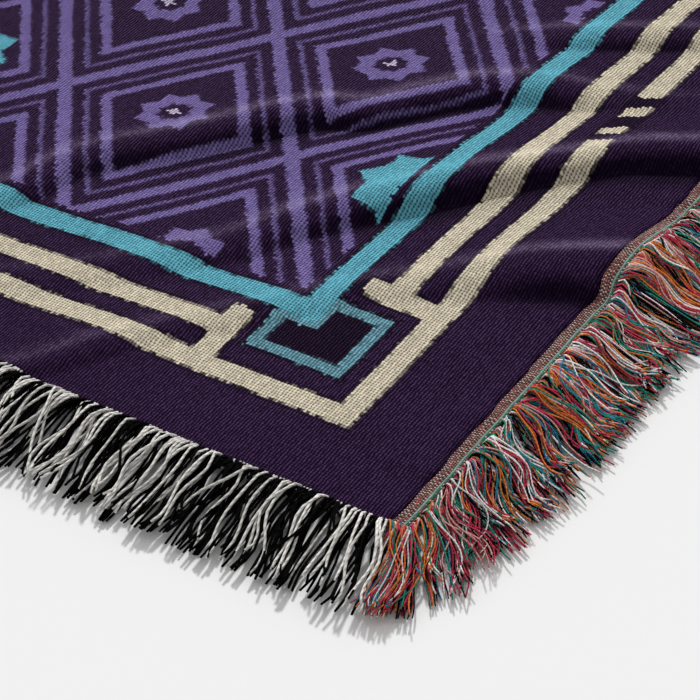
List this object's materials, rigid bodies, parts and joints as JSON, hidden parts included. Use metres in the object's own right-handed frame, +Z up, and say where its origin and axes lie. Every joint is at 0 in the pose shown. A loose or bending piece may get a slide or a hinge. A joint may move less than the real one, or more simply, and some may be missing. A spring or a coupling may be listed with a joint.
{
  "type": "tapestry throw blanket",
  "caption": "Rectangular woven cotton throw laid flat, with soft folds over one corner and a fringe along each of its four sides.",
  "frame": {"origin": "on the surface that the blanket lies on, under the middle of its overall rectangle", "axes": "+Z up from the surface, +X along the short sides and +Y along the long sides; the sharply folded corner is at +X, -Y"},
  "size_m": [1.27, 1.524, 0.0129],
  "materials": {
    "woven_cotton": "matt jacquard weave, near-black aubergine with lavender, teal and cream lines",
    "weft_cord": "matt twisted cotton cords, black and off-white",
    "warp_yarn": "matt fine cotton yarns in crimson, green, blue, orange, rose, white and black"
  },
  "bodies": {
    "root": {"woven_panel": "woven_cotton", "weft_fringe_foot": "weft_cord", "weft_fringe_head": "weft_cord", "warp_fringe_right": "warp_yarn", "warp_fringe_left": "warp_yarn"}
  },
  "joints": []
}
